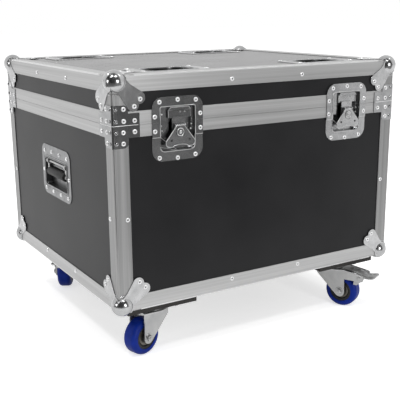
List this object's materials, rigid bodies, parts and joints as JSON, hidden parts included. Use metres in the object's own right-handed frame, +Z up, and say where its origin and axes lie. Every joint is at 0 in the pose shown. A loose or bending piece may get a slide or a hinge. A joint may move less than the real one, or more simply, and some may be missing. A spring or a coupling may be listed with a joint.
{
  "type": "flight case",
  "caption": "Wheeled flight case with a lift-off lid, ball corners, recessed latches and handles, castor dishes in the lid and swivel castors with foot brakes.",
  "frame": {"origin": "on the ground under the middle of the box", "axes": "+X to the right along the latched front, +Y to the back, +Z up"},
  "size_m": [0.6898, 0.644, 0.569],
  "materials": {
    "front_laminate": "black laminate on plywood, satin",
    "end_laminate": "black laminate on plywood, satin",
    "lid_laminate": "black laminate on plywood, satin",
    "board_plywood": "plywood stained black",
    "aluminium_edge": "natural anodised, drawn",
    "plated_steel": "bright plated steel",
    "zinc_steel": "zinc plated steel",
    "grip_rubber": "matt black rubber",
    "blue_tyre": "blue elastic rubber",
    "rim_nylon": "dark nylon"
  },
  "bodies": {
    "base": {"base_front_panel": "front_laminate", "base_back_panel": "front_laminate", "base_end_panels": "end_laminate", "base_floor_panel": "end_laminate", "bottom_edge_angles": "aluminium_edge", "base_corner_posts": "aluminium_edge", "base_groove_rims": "aluminium_edge", "base_ball_corners": "plated_steel", "base_corner_braces": "plated_steel", "castor_boards": "board_plywood", "latch_dishes_base": "plated_steel", "handle_dishes": "plated_steel", "handle_pins": "zinc_steel", "castor_plates": "zinc_steel", "castor_bolts": "zinc_steel"},
    "lid": {"lid_top_panel": "lid_laminate", "lid_wall_panels": "front_laminate", "lid_edge_angles": "aluminium_edge", "lid_corner_posts": "aluminium_edge", "lid_tongue_rims": "aluminium_edge", "lid_ball_corners": "plated_steel", "lid_corner_braces": "plated_steel", "castor_dishes": "plated_steel", "latch_dishes_lid": "plated_steel", "latch_keepers": "zinc_steel"},
    "hook_front_left": {"latch_hook_front_left": "zinc_steel"},
    "cam_front_left": {"latch_cam_front_left": "plated_steel"},
    "wing_front_left": {"latch_wing_front_left": "plated_steel"},
    "hook_front_right": {"latch_hook_front_right": "zinc_steel"},
    "cam_front_right": {"latch_cam_front_right": "plated_steel"},
    "wing_front_right": {"latch_wing_front_right": "plated_steel"},
    "hook_back_left": {"latch_hook_back_left": "zinc_steel"},
    "cam_back_left": {"latch_cam_back_left": "plated_steel"},
    "wing_back_left": {"latch_wing_back_left": "plated_steel"},
    "hook_back_right": {"latch_hook_back_right": "zinc_steel"},
    "cam_back_right": {"latch_cam_back_right": "plated_steel"},
    "wing_back_right": {"latch_wing_back_right": "plated_steel"},
    "handle_left": {"handle_bail_left": "zinc_steel", "handle_grip_left": "grip_rubber"},
    "handle_right": {"handle_bail_right": "zinc_steel", "handle_grip_right": "grip_rubber"},
    "castor_front_right": {"castor_fork_front_right": "zinc_steel", "castor_axle_front_right": "zinc_steel"},
    "wheel_front_right": {"castor_tyre_front_right": "blue_tyre", "castor_rim_front_right": "rim_nylon"},
    "brake_front_right": {"castor_brake_pedal_front_right": "zinc_steel"},
    "castor_front_left": {"castor_fork_front_left": "zinc_steel", "castor_axle_front_left": "zinc_steel"},
    "wheel_front_left": {"castor_tyre_front_left": "blue_tyre", "castor_rim_front_left": "rim_nylon"},
    "castor_back_left": {"castor_fork_back_left": "zinc_steel", "castor_axle_back_left": "zinc_steel"},
    "wheel_back_left": {"castor_tyre_back_left": "blue_tyre", "castor_rim_back_left": "rim_nylon"},
    "brake_back_left": {"castor_brake_pedal_back_left": "zinc_steel"},
    "castor_back_right": {"castor_fork_back_right": "zinc_steel", "castor_axle_back_right": "zinc_steel"},
    "wheel_back_right": {"castor_tyre_back_right": "blue_tyre", "castor_rim_back_right": "rim_nylon"}
  },
  "joints": [
    {"name": "lid_lift", "type": "slide", "parent": "base", "child": "lid", "axis": [0, 0, 1], "range_m": [0, 0.4]},
    {"name": "latch_turn_front_left", "type": "hinge", "parent": "base", "child": "cam_front_left", "pos_m": [-0.2, -0.297, 0.45], "axis": [0, 1, 0], "range_deg": [0, 180]},
    {"name": "wing_fold_front_left", "type": "hinge", "parent": "cam_front_left", "child": "wing_front_left", "pos_m": [-0.2, -0.2995, 0.4635], "axis": [-1, 0, 0], "range_deg": [0, 90]},
    {"name": "hook_slide_front_left", "type": "slide", "parent": "base", "child": "hook_front_left", "axis": [0, 0, 1], "range_m": [0, 0.006]},
    {"name": "latch_turn_front_right", "type": "hinge", "parent": "base", "child": "cam_front_right", "pos_m": [0.208, -0.297, 0.45], "axis": [0, 1, 0], "range_deg": [0, 180]},
    {"name": "wing_fold_front_right", "type": "hinge", "parent": "cam_front_right", "child": "wing_front_right", "pos_m": [0.208, -0.2995, 0.4635], "axis": [-1, 0, 0], "range_deg": [0, 90]},
    {"name": "hook_slide_front_right", "type": "slide", "parent": "base", "child": "hook_front_right", "axis": [0, 0, 1], "range_m": [0, 0.006]},
    {"name": "latch_turn_back_left", "type": "hinge", "parent": "base", "child": "cam_back_left", "pos_m": [-0.208, 0.297, 0.45], "axis": [0, -1, 0], "range_deg": [0, 180]},
    {"name": "wing_fold_back_left", "type": "hinge", "parent": "cam_back_left", "child": "wing_back_left", "pos_m": [-0.208, 0.2995, 0.4635], "axis": [1, 0, 0], "range_deg": [0, 90]},
    {"name": "hook_slide_back_left", "type": "slide", "parent": "base", "child": "hook_back_left", "axis": [0, 0, 1], "range_m": [0, 0.006]},
    {"name": "latch_turn_back_right", "type": "hinge", "parent": "base", "child": "cam_back_right", "pos_m": [0.2, 0.297, 0.45], "axis": [0, -1, 0], "range_deg": [0, 180]},
    {"name": "wing_fold_back_right", "type": "hinge", "parent": "cam_back_right", "child": "wing_back_right", "pos_m": [0.2, 0.2995, 0.4635], "axis": [1, 0, 0], "range_deg": [0, 90]},
    {"name": "hook_slide_back_right", "type": "slide", "parent": "base", "child": "hook_back_right", "axis": [0, 0, 1], "range_m": [0, 0.006]},
    {"name": "handle_swing_left", "type": "hinge", "parent": "base", "child": "handle_left", "pos_m": [-0.331, 0, 0.3538], "axis": [0, 1, 0], "range_deg": [0, 90]},
    {"name": "handle_swing_right", "type": "hinge", "parent": "base", "child": "handle_right", "pos_m": [0.331, 0, 0.3538], "axis": [0, -1, 0], "range_deg": [0, 90]},
    {"name": "swivel_front_right", "type": "hinge", "parent": "base", "child": "castor_front_right", "pos_m": [0.236, -0.232, 0.094], "axis": [0, 0, 1], "continuous": true},
    {"name": "roll_front_right", "type": "hinge", "parent": "castor_front_right", "child": "wheel_front_right", "pos_m": [0.24915, -0.25896, 0.0375], "axis": [0.8988, 0.4384, 0], "continuous": true},
    {"name": "brake_front_right", "type": "hinge", "parent": "castor_front_right", "child": "brake_front_right", "pos_m": [0.26932, -0.30031, 0.077], "axis": [0.8988, 0.4384, 0], "range_deg": [0, 12]},
    {"name": "swivel_front_left", "type": "hinge", "parent": "base", "child": "castor_front_left", "pos_m": [-0.236, -0.232, 0.094], "axis": [0, 0, 1], "continuous": true},
    {"name": "roll_front_left", "type": "hinge", "parent": "castor_front_left", "child": "wheel_front_left", "pos_m": [-0.26453, -0.24127, 0.0375], "axis": [0.309, -0.9511, 0], "continuous": true},
    {"name": "swivel_back_left", "type": "hinge", "parent": "base", "child": "castor_back_left", "pos_m": [-0.236, 0.232, 0.094], "axis": [0, 0, 1], "continuous": true},
    {"name": "roll_back_left", "type": "hinge", "parent": "castor_back_left", "child": "wheel_back_left", "pos_m": [-0.251, 0.20602, 0.0375], "axis": [0.866, -0.5, 0], "continuous": true},
    {"name": "brake_back_left", "type": "hinge", "parent": "castor_back_left", "child": "brake_back_left", "pos_m": [-0.274, 0.16618, 0.077], "axis": [0.866, -0.5, 0], "range_deg": [0, 12]},
    {"name": "swivel_back_right", "type": "hinge", "parent": "base", "child": "castor_back_right", "pos_m": [0.236, 0.232, 0.094], "axis": [0, 0, 1], "continuous": true},
    {"name": "roll_back_right", "type": "hinge", "parent": "castor_back_right", "child": "wheel_back_right", "pos_m": [0.22574, 0.20381, 0.0375], "axis": [0.9397, -0.342, 0], "continuous": true}
  ],
  "couplings": [
    {"joint": "hook_slide_front_left", "follows": "latch_turn_front_left", "m_per_rad": 0.0019098},
    {"joint": "hook_slide_front_right", "follows": "latch_turn_front_right", "m_per_rad": 0.0019098},
    {"joint": "hook_slide_back_left", "follows": "latch_turn_back_left", "m_per_rad": 0.0019098},
    {"joint": "hook_slide_back_right", "follows": "latch_turn_back_right", "m_per_rad": 0.0019098}
  ]
}
